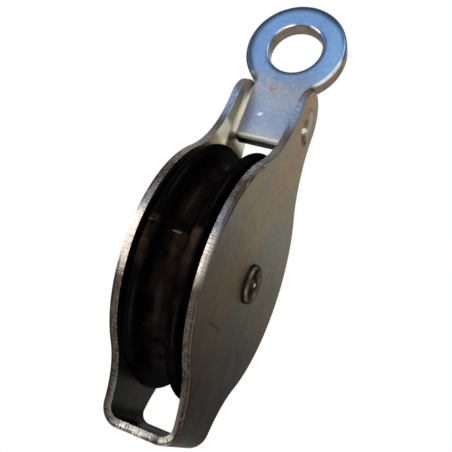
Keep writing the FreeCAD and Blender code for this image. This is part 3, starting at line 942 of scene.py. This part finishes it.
def stains(f):
    """Brown marks at the front edge and around the tenon, and a scratch below the axle."""
    band = f.times(
        f.span(from_axle(f), 0.0367, 0.0377), f.near(f.z, -0.0660, 0.0150),
        f.span(f.y, -0.020, -0.026), f.span(f.grain(0.45, 4, 0.7, (1, 1, 0.5), 3.4), 0.34, 0.44),
    )
    blotch = f.times(
        f.spot(f.y, f.z, (-0.0347, -0.0628), (0.0026, 0.0026), 60),
        f.span(f.grain(0.8, 3, 0.6, shift=4.9), 0.42, 0.56), on_right(f),
    )
    dots = f.times(
        f.spot(f.y, f.z, (-0.0262, -0.0533), (0.0036, 0.0015), 25),
        f.span(f.grain(0.6, 3, 0.6, shift=2.3), 0.40, 0.52),
    )
    bent = f.wander(f.z, f.grain(0.09, 1, shift=0.7), 0.0035)
    scratch = f.times(
        f.near(bent, -0.0990, 0.0007), f.near(f.y, -0.0170, 0.0075), on_right(f), 0.55
    )
    return f.most(band, blotch, dots, scratch, around_tenon(f))


print("stains: a band, a blotch, dots, a scratch, rust and a pit")

# %% [markdown]
# ### Sheared edges of the strap
#
# A sheared edge is bare steel. The die leaves fine lines across it, its inner part is broken, and
# its outer corner holds grease. Its tone changes up the height as painted light and shade, and a
# painted highlight lies on it beside the axle, on the torn edge of the web and on its lower inner
# side. The lines follow the note that counts along the rim, and not the place in space, so that they
# stay square to the edge round every curve.

# %% Sheared edges and the finish of the strap
def edge_colour(f, skin, along):
    """The bare sheared edge, its painted light and shade, its die lines, its broken part and the
    grease on its corner.
    """
    # The tone up the height and the three tints below are painted light and shade.
    edge = f.ramp(
        f.straight_span(f.z, -0.134, -0.014),
        (0.0, 84, 76, 71), (0.1, 64, 57, 53), (0.2, 80, 74, 68), (0.3, 78, 69, 62),
        (0.55, 76, 67, 61), (0.92, 88, 86, 88), (1.0, 140, 130, 120),
    )
    for rise, fall, tint in (
        ((-0.063, -0.056), (-0.037, -0.046), (120, 119, 117)),
        ((-0.037, -0.030), (-0.019, -0.025), (114, 128, 156)),
        ((-0.086, -0.078), (-0.0650, -0.0745), (116, 117, 126)),
    ):
        edge = f.lay(edge, f.times(f.span(f.z, *rise), f.span(f.z, *fall)), *tint)
    left = f.span(f.x, 0.001, -0.001)
    longer = f.times(left, 0.0025)
    outward = f.times(f.span(skin, -0.4, 0.1), f.rest(left))
    # A painted highlight along the edge beside the axle.
    painted_sheen = f.times(
        f.span(f.plus(f.z, longer), -0.0945, -0.0885), f.span(f.less(f.z, longer), -0.0755, -0.0835),
        f.rest(f.times(outward, 0.55)),
    )
    edge = f.lay(edge, painted_sheen, 214, 205, 196)
    web = f.most(f.near(f.x, -0.0010, 0.0082), f.near(f.x, 0.0090, 0.0026))
    web = f.times(web, f.span(f.z, -0.1285, -0.1308))
    # A painted highlight on the torn edge of the web.
    edge = f.lay(edge, web, 196, 193, 190)

    edge = f.vary(edge, 0.55, f.lines(along, 2.4), (0.36, 118, 116, 112), (0.64, 228, 226, 222))
    rough_part = f.most(
        f.times(f.span(skin, 0.1, -0.3), 0.45), f.times(f.span(f.z, -0.095, -0.110), 0.75),
        f.times(f.near(f.z, -0.0610, 0.0110), 0.7), f.times(web, 0.6),
    )
    broken = f.grain(0.8, 5, 0.8, shift=5.5)
    edge = f.vary(edge, rough_part, broken, (0.40, 64, 60, 56), (0.60, 246, 244, 240))
    left_low = f.times(
        left, 0.45, f.span(f.z, -0.106, -0.116), f.rest(f.span(f.z, -0.1265, -0.1295))
    )
    torn_part = f.most(f.times(web, 0.75), left_low)
    torn = f.lines(along, 1.5, 2.0)
    edge = f.vary(edge, torn_part, torn, (0.40, 70, 68, 66), (0.56, 236, 235, 233))

    # A painted highlight on the lower inner side of the edge.
    inward_side = f.times(f.span(skin, 0.0, -0.5), f.span(f.z, -0.116, -0.124), 0.4)
    edge = f.lay(edge, inward_side, 118, 113, 110)
    patches = f.span(f.grain(0.35, 4, 0.6, shift=7.7), 0.28, 0.58)
    below = f.most(f.span(f.z, -0.088, -0.094), f.near(f.z, -0.0665, 0.0140))
    edge = f.lay(edge, f.times(f.near(skin, 0.55, 0.34), patches, below, 0.8), 42, 32, 28)
    right_bend = f.times(
        f.span(f.x, 0.0096, 0.0114), f.span(f.z, -0.1240, -0.1290), f.span(skin, -0.5, 0.3), 0.8
    )
    edge = f.lay(edge, right_bend, 40, 27, 25)
    where = f.most(f.rest(left), f.span(f.z, -0.098, -0.108))
    return f.lay(edge, f.times(f.span(skin, 0.40, 0.85), where, 0.62), 46, 37, 32)


def strap_finish():
    f = Finish("plated_strap_worn")
    rim_note, skin, along = f.note("rim"), f.note("skin"), f.note("along")
    outer, inner = face_colours(f)
    inside = f.span(skin, -0.2, -0.8)
    # Painted light in two places inside the neck, pale and less metallic.
    painted_neck_light = f.times(painted_light_places(f), inside)
    face = f.lay(f.mix(inside, outer, inner), painted_neck_light, 248, 240, 222)
    marks = f.times(stains(f), 0.9)
    face = f.lay(film(f, face), marks, 46, 30, 20)
    tan = f.spot(f.y, f.z, (-0.0019, -0.0187), (0.0040, 0.0018), 18)
    face = f.lay(face, f.times(tan, 0.45), 176, 128, 88)
    chip = f.spot(f.y, f.z, (-0.0256, -0.0523), (0.0012, 0.0007))
    face = f.lay(face, f.times(chip, on_right(f), 0.8), 226, 220, 204)
    on_edge = f.span(rim_note, 0.3, 0.7)
    f.link(f.mix(on_edge, face, edge_colour(f, skin, along)), "Base Color")

    cloud = f.straight_span(f.grain(0.12, 4, 0.6, shift=3.3), 0.2, 0.8)
    f.link(f.plus(f.times(cloud, 0.16), 0.34, f.times(marks, 0.15)), "Roughness")
    f.link(f.less(0.9, f.times(f.most(marks, painted_neck_light), 0.35)), "Metallic")
    unlit = f.most(f.times(inside, f.span(f.z, -0.1280, -0.1312)), marks)
    f.link(f.mix(unlit, (0.5, 0.49, 0.47, 1), (0.05, 0.06, 0.06, 1)), "Specular Tint")
    f.fixed(Specular_IOR_Level=0.25)
    wave = f.bump(f.grain(0.03, 2, shift=2.2), 0.5)
    fine = f.bump(f.grain(1.2, 4, 0.6, shift=1.1), 0.02, under=wave)
    f.link(f.bump(f.times(f.lines(along, 2.4), on_edge), 0.06, under=fine), "Normal")
    return f.material


finishes["strap"] = strap_finish()
print(finishes["strap"].name, "has", len(finishes["strap"].node_tree.nodes), "nodes")

# %% [markdown]
# ## Plating of the eye, with a painted blue reflection
#
# The eye has a thin clear film, and the blue on its faces is a painted reflection of the sky, paler
# and greyer on the stem. The rounded edges carry a dark painted reflection, and a painted highlight
# at the lower right and in a few other places. The walls of the plate and of the bore look brown
# beside the faces. The hammered ends lost their plating to the blows and took on the colour of the
# cheek, so they borrow its recipe.

# %% Finish of the eye
def eye_faces(f):
    """The blue of the faces, a painted reflection of the sky, and what the neck and the stem show on
    it.
    """
    blue = f.ramp(
        f.straight_span(f.wander(f.z, f.grain(0.06, 3, shift=1.7), 0.006), -0.036, 0.0173),
        (0.0, 152, 158, 170), (0.06, 140, 148, 164), (0.12, 127, 141, 166), (0.26, 130, 143, 166),
        (0.37, 130, 139, 155), (0.42, 120, 134, 156), (0.47, 108, 132, 168), (0.54, 106, 134, 174),
        (0.70, 105, 138, 184), (1.0, 107, 144, 188),
    )
    # The right of the faces is painted lighter and the left darker, as painted reflection.
    blue = f.lay(blue, f.times(f.span(f.x, 0.006, 0.015), 0.6), 125, 165, 210)
    blue = f.lay(blue, f.times(f.span(f.x, -0.009, -0.016), 0.5), 86, 112, 154)
    # Painted shade on both sides of the lower stem.
    sides = f.most(f.times(f.span(f.x, -0.0056, -0.0078), 0.35), f.span(f.x, 0.0045, 0.0095))
    low_stem = f.times(f.span(f.z, -0.0205, -0.0275), 0.75)
    blue = f.lay(blue, f.times(sides, low_stem), 98, 104, 118)

    neck = f.times(f.span(f.z, -0.008, -0.014), f.span(f.z, -0.028, -0.016))
    dull = f.span(f.grain(0.45, 4, 0.7, shift=4.4), 0.46, 0.62)
    blue = f.lay(blue, f.times(neck, dull, 0.4), 156, 148, 140)
    eaten = f.span(f.grain(1.1, 3, 0.6, shift=5.2), 0.35, 0.55)
    rust = f.times(f.spot(f.x, f.z, (-0.0022, -0.0166), (0.0019, 0.0016)), eaten, 0.7)
    blue = f.lay(blue, rust, 134, 106, 90)
    # A painted highlight on a small dent in the stem.
    dent = f.spot(f.x, f.z, (-0.0033, -0.0266), (0.0013, 0.0007), 30)
    blue = f.lay(blue, dent, 196, 202, 210)
    mottle = f.grain(0.9, 4, 0.7, shift=2.0)
    return f.vary(blue, 0.35, mottle, (0.3, 150, 150, 150), (0.7, 222, 222, 222))


def edge_shades(f, rim_note, colour):
    """Painted shade and painted highlights on the rims of the eye. Also returns where they aren't
    metallic.
    """
    reach = f.length(f.x, f.z)
    toward = f.join("DIVIDE", f.less(f.x, f.z), reach)
    # The lower right side, where the highlight is painted.
    highlight_side = f.span(toward, 1.0, 1.25)
    ring = f.span(f.z, -0.0135, -0.0105)
    later = f.plus(
        f.times(f.span(toward, -0.4, 0.4), 0.0009), f.times(f.span(toward, 0.4, 1.0), 0.0008)
    )
    # A dark painted reflection along the outer rounding of the ring, and beside the bore.
    outside = f.times(
        f.span(f.less(reach, later), 0.0139, 0.0160), ring, f.span(f.y, -0.0012, -0.0022),
        f.rest(highlight_side),
    )
    beside_bore = f.times(f.span(reach, 0.0113, 0.0100), f.span(toward, -0.9, 0.6), 0.9)
    colour = f.lay(colour, f.times(f.most(outside, beside_bore), 0.92), 42, 50, 68)

    uneven = f.straight_span(f.grain(0.35, 3, 0.6, shift=9.3), 0.25, 0.6)
    uneven = f.plus(f.times(uneven, 0.5), 0.5)
    bevel = f.times(f.span(rim_note, 0.02, 0.30), f.span(rim_note, 0.995, 0.90))
    # Painted highlights on the lower right rim and on two places of the bore's edge.
    lit = f.most(
        f.times(highlight_side, f.span(reach, 0.0148, 0.0158), ring),
        f.spot(f.x, f.z, (-0.0065, 0.0074), (0.0048, 0.0036), 45),
        f.spot(f.x, f.z, (0.0046, 0.0086), (0.0030, 0.0018), -30),
    )
    colour = f.lay(colour, f.times(lit, uneven, bevel), 222, 219, 213)
    # Pale painted highlights beside the cheek and along the foot of the stem, less metallic.
    beside_cheek = f.times(f.span(f.x, -0.0086, -0.0094), f.span(f.z, -0.0150, -0.0215), uneven)
    foot = f.times(
        f.span(f.z, -0.0341, -0.0350), f.span(rim_note, 0.999, 0.96), f.span(f.x, -0.0088, -0.0060)
    )
    painted_rims = f.most(beside_cheek, foot)
    colour = f.lay(colour, painted_rims, 244, 240, 230)
    # Painted shade in the notch between the ring and the stem.
    nick = f.spot(f.x, f.z, (-0.0103, -0.0147), (0.0024, 0.0034))
    return f.lay(colour, f.times(nick, 0.8), 62, 54, 46), f.most(painted_rims, nick)


def eye_finish():
    f = Finish("plated_eye_blue")
    rim_note, skin, mark = f.note("rim"), f.note("skin"), f.note("along")
    wall = f.ramp(rim_note, (0.55, 92, 96, 108), (0.95, 118, 108, 96))
    # Painted shade on the underside of the stem.
    below = f.times(f.span(f.z, -0.0353, -0.0358), f.span(rim_note, 0.93, 0.99))
    wall = f.lay(wall, below, 40, 34, 27)
    grime = f.grain(0.5, 4, 0.65, (1, 0.4, 1), 8.0)
    wall = f.vary(wall, 0.5, grime, (0.3, 128, 124, 116), (0.7, 226, 222, 214))
    plated = f.mix(f.span(rim_note, 0.45, 0.95), eye_faces(f), wall)
    colour, painted_rims = edge_shades(f, rim_note, plated)

    cheek = f.lay(film(f, face_colours(f)[0]), f.times(around_tenon(f), 0.8), 50, 32, 22)
    # Painted shade in the furrow of the hammered end.
    cheek = f.lay(cheek, f.times(f.span(mark, -0.15, -0.50), 0.8), 72, 75, 50)
    # A painted highlight on the hammered lip.
    cheek = f.lay(cheek, f.span(mark, 0.10, 0.30), 208, 205, 192)
    f.link(f.mix(f.span(skin, 1.4, 1.7), colour, cheek), "Base Color")
    cloud = f.straight_span(f.grain(0.3, 4, 0.6, shift=3.9), 0.25, 0.8)
    f.link(f.plus(f.times(cloud, 0.12), 0.28, f.times(rim_note, 0.06)), "Roughness")
    f.link(f.less(0.9, f.times(painted_rims, 0.8)), "Metallic")
    f.fixed(Specular_Tint=(0.55, 0.55, 0.55, 1.0), Specular_IOR_Level=0.25)
    wave = f.bump(f.grain(0.09, 2, shift=6.6), 0.18)
    f.link(f.bump(f.grain(1.6, 4, 0.65, shift=7.1), 0.018, under=wave), "Normal")
    return f.material


finishes["eye"] = eye_finish()
print(finishes["eye"].name, "has", len(finishes["eye"].node_tree.nodes), "nodes")

# %% [markdown]
# ## The rivet, the tube and the wheel
#
# The rivet is plated steel with dirt in its dish, a painted shadow round the foot of its head and a
# painted highlight on the point in the middle. The tube inside the wheel is plain turned steel. The
# wheel is black plastic under a thin coat, because a glossy base would turn grey at the rim. Brown
# on the floor of the groove and on the front of its walls is a painted reflection, and a few pale
# marks along one line are painted highlights.

# %% Finishes of the rivet, tube and wheel
def rivet_finish():
    f = Finish("plated_rivet_worn")
    radius = from_axle(f)
    colour = f.ramp(
        f.grain(0.3, 4, 0.6, shift=1.5), (0.3, 56, 52, 46), (0.5, 76, 72, 64), (0.72, 98, 94, 86)
    )
    dish = f.times(
        f.span(radius, 0.0008, 0.0015), f.span(radius, 0.0051, 0.0043),
        f.span(f.grain(0.5, 3, 0.6, (1, 1, 0.4), 6.1), 0.26, 0.44), on_right(f),
    )
    colour = f.lay(colour, f.times(dish, 0.92), 40, 27, 16)
    # Painted shadow round the foot of the head, beside the cheek.
    seat = f.span(f.x, 0.0136, 0.0127)
    colour = f.lay(colour, f.times(seat, 0.7), 40, 34, 28)
    # A painted highlight on the point in the middle of the dish.
    point = f.times(f.span(radius, 0.0008, 0.0004), on_right(f))
    f.link(f.lay(colour, point, 235, 222, 200), "Base Color")
    f.link(f.plus(0.36, f.times(dish, 0.2)), "Roughness")
    f.fixed(Metallic=0.95, Specular_Tint=(0.3, 0.27, 0.23, 1.0), Specular_IOR_Level=0.2)
    f.link(f.bump(f.grain(1.1, 3, 0.6, shift=2.7), 0.04), "Normal")
    return f.material


def tube_finish():
    f = Finish("turned_steel")
    lines = f.grain(3.0, 3, 0.6, (1, 0.02, 0.02), 1.0)
    f.link(f.ramp(lines, (0.3, 120, 118, 114), (0.7, 178, 176, 172)), "Base Color")
    f.fixed(Metallic=1.0, Roughness=0.3)
    f.link(f.bump(lines, 0.01), "Normal")
    return f.material


def wheel_finish():
    f = Finish("black_wheel_worn")
    radius = from_axle(f)
    # Brown painted reflection on the floor of the groove and on the front of its walls.
    groove = f.times(f.span(radius, 0.0352, 0.0318), f.span(radius, 0.0290, 0.0305), 0.16)
    bands = f.most(
        f.near(f.x, -0.0070, 0.0024), f.near(f.x, 0.0060, 0.0022), f.near(f.x, 0.0002, 0.0034)
    )
    stretch = f.times(
        f.span(f.z, -0.0950, -0.0810), f.span(f.z, -0.0776, -0.0790), f.span(f.y, -0.020, -0.026),
        bands, 0.85,
    )
    patches = f.span(f.grain(0.16, 4, 0.6, shift=2.6), 0.30, 0.66)
    painted_reflection = f.times(f.most(groove, stretch), patches)
    black = f.ramp(f.grain(0.2, 3, shift=3.8), (0.3, 1, 1, 2), (0.75, 6, 5, 6))
    flecks = f.span(f.grain(1.1, 2, 0.5, shift=8.2), 0.74, 0.79)
    colour = f.lay(f.lay(black, painted_reflection, 60, 45, 33), f.times(flecks, 0.3), 90, 82, 74)
    # Painted highlights along one line across the front of the wheel.
    painted_glints = f.most(
        f.times(f.spot(f.x, f.z, (-0.0020, -0.0793), (0.0016, 0.0004), 8), 0.45),
        f.times(f.spot(f.x, f.z, (-0.0074, -0.0797), (0.0018, 0.0004)), 0.14),
        f.times(f.spot(f.x, f.z, (0.0062, -0.0796), (0.0016, 0.0004)), 0.05),
    )
    front = f.span(f.y, -0.020, -0.025)
    f.link(f.lay(colour, f.times(painted_glints, front), 140, 128, 122), "Base Color")
    worn = f.grain(0.5, 4, 0.65, (2.5, 0.5, 0.5), 4.6)
    f.link(f.plus(f.times(worn, 0.2), 0.20, f.times(painted_reflection, 0.2)), "Roughness")
    f.fixed(Specular_IOR_Level=0.0, Coat_Weight=0.022, Coat_Roughness=0.22)
    f.link(f.bump(worn, 0.02), "Normal")
    return f.material


finishes.update(rivet=rivet_finish(), tube=tube_finish(), wheel=wheel_finish())
print("finishes:", ", ".join(material.name for material in finishes.values()))

# %% [markdown]
# ## Put the pieces together
#
# The wheel waited for its finish, because its tree sets the material. Each piece is then hung on
# the body it rides on, and the CAD piece it stands for is hidden, so that the wheel turns and the
# rest stays.
# The tube is hidden in the wheel, so its CAD solid stays and only gets a finish.

# %% Make the wheel and dress every piece
SWEEP, SWEEP_STEPS = 35.0, 256
RIBS, RIB_THICK, RIB_DEPTH, RIB_CORNER, RIB_ROOT = 6, 2.4, 12.4, 0.5, 0.9

section_mesh = bpy.data.meshes.new("wheel_section")
count = len(wheel_section)
section_mesh.from_pydata(
    [((r - SWEEP) * MM, -a * MM, 0) for a, r in wheel_section],
    [(i, (i + 1) % count) for i in range(count)], [],
)
wheel = run_tree(wheel_tree(), section_mesh, {
    "Sweep radius": SWEEP * MM, "Sweep steps": SWEEP_STEPS, "Rib count": RIBS,
    "Rib start": (HUB - RIB_ROOT) * MM, "Rib end": (RIM_FLOOR + RIB_ROOT) * MM,
    "Rib thickness": RIB_THICK * MM, "Rib depth": RIB_DEPTH * MM, "Rib corner": RIB_CORNER * MM,
    "Axle height": AXLE_HEIGHT, "Finish": finishes["wheel"],
}, "wheel_moulded")
print("wheel:", len(wheel.data.polygons), "faces")

strap.data.materials.append(finishes["strap"])
eye.data.materials.append(finishes["eye"])
rivet.data.materials.append(finishes["rivet"])
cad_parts["bearing_tube"].material_slots[0].material = finishes["tube"]

for piece, body, node, slot in (
    (strap, "frame", "strap_frame", "plated_strap"),
    (eye, "frame", "eye_plate", "plated_eye"),
    (rivet, "frame", "axle_rivet", "plated_rivet"),
    (wheel, "wheel", "sheave", "black_wheel"),
):
    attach(piece, body)
    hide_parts(node)
print("dressed:", [piece.name for piece in (strap, eye, rivet, wheel)])

# %% [markdown]
# ## Floor and air
#
# The photograph has a plain white ground and no edge of a floor. A pale round floor lies under the
# pulley and keeps its shadow. Far out it fades into the white of the world. Stronger lamps could
# make that white too, but they would bleach the pulley. So only the rays of the camera, and those
# that a mirror or a glass sends on, find it white.

# %% Floor and world
def seen_straight(tree):
    """1 for the rays of the camera and for those that a mirror or a glass sends on."""
    rays = tree.nodes.new("ShaderNodeLightPath").outputs
    seen = maths_node(tree, "MAXIMUM", rays["Is Camera Ray"], rays["Is Glossy Ray"])
    return maths_node(tree, "MAXIMUM", seen, rays["Is Transmission Ray"])


def blend_into(tree, share, first, second, output):
    """Mix two shaders and send them to the output of the tree."""
    blend = tree.nodes.new("ShaderNodeMixShader")
    for socket, source in zip(blend.inputs, (share, first, second)):
        plug(tree, source, socket)
    plug(tree, blend, tree.nodes[output].inputs["Surface"])


def make_floor(height=-0.45, radius=1.2, steps=96):
    mesh = bmesh.new()
    bmesh.ops.create_circle(mesh, cap_ends=True, radius=radius, segments=steps)
    data = bpy.data.meshes.new("floor")
    mesh.to_mesh(data)
    mesh.free()
    for vertex in data.vertices:
        vertex.co.z = height
    made = bpy.data.objects.new("floor", data)
    bpy.context.scene.collection.objects.link(made)
    f = Finish("pale_floor")
    f.fixed(Base_Color=(0.9, 0.9, 0.9, 1.0), Roughness=0.8)
    away = f.span(f.length(f.x, f.y), 0.15, 0.5)
    white = tree_node(f.tree, "ShaderNodeEmission", Strength=1.0)
    share = f.times(away, seen_straight(f.tree))
    blend_into(f.tree, share, f.shader, white, "Material Output")
    data.materials.append(f.material)
    return made


make_floor()

world = bpy.data.worlds.new("studio_air")
bpy.context.scene.world = world
world.use_nodes = True
air = world.node_tree
plain_air = air.nodes["Background"]
plain_air.inputs["Color"].default_value = (0.93, 0.96, 1.0, 1.0)
plain_air.inputs["Strength"].default_value = 0.45
white_air = tree_node(air, "ShaderNodeBackground", Color=(1, 1, 1, 1), Strength=1.0)
blend_into(air, seen_straight(air), plain_air, white_air, "World Output")
bpy.context.scene.view_settings.view_transform = "Standard"
print("the air lights with strength", round(plain_air.inputs["Strength"].default_value, 2))

# %% [markdown]
# ## Lamps
#
# Plated steel shows its lamps, and small hard ones would draw spots on it. So these are large and
# soft. One is high on the right, one fills the left and one comes from behind. In the photograph
# the edges that face down and to the right shine, so the last lamp stands low there.

# %% Lamps
def lamp(name, place, size, power, colour=(1, 1, 1)):
    """A square soft lamp that looks at the middle of the pulley and isn't seen itself."""
    data = bpy.data.lights.new(name, "AREA")
    data.size, data.energy, data.color = size, power, colour
    made = bpy.data.objects.new(name, data)
    toward = Vector((0, 0, AXLE_HEIGHT)) - Vector(place)
    made.location = place
    made.rotation_euler = toward.to_track_quat("-Z", "Y").to_euler()
    made.visible_camera = False
    bpy.context.scene.collection.objects.link(made)


lamp("main_lamp", (0.35, -0.25, 0.45), 0.35, 2.4, (1.0, 0.98, 0.95))
lamp("left_fill", (-0.45, -0.40, 0.10), 0.40, 1.4, (0.92, 0.96, 1.0))
lamp("back_lamp", (-0.10, 0.50, 0.35), 0.40, 1.0)
lamp("low_lamp", (0.15, -0.17, -0.37), 0.25, 1.1)

# %% [markdown]
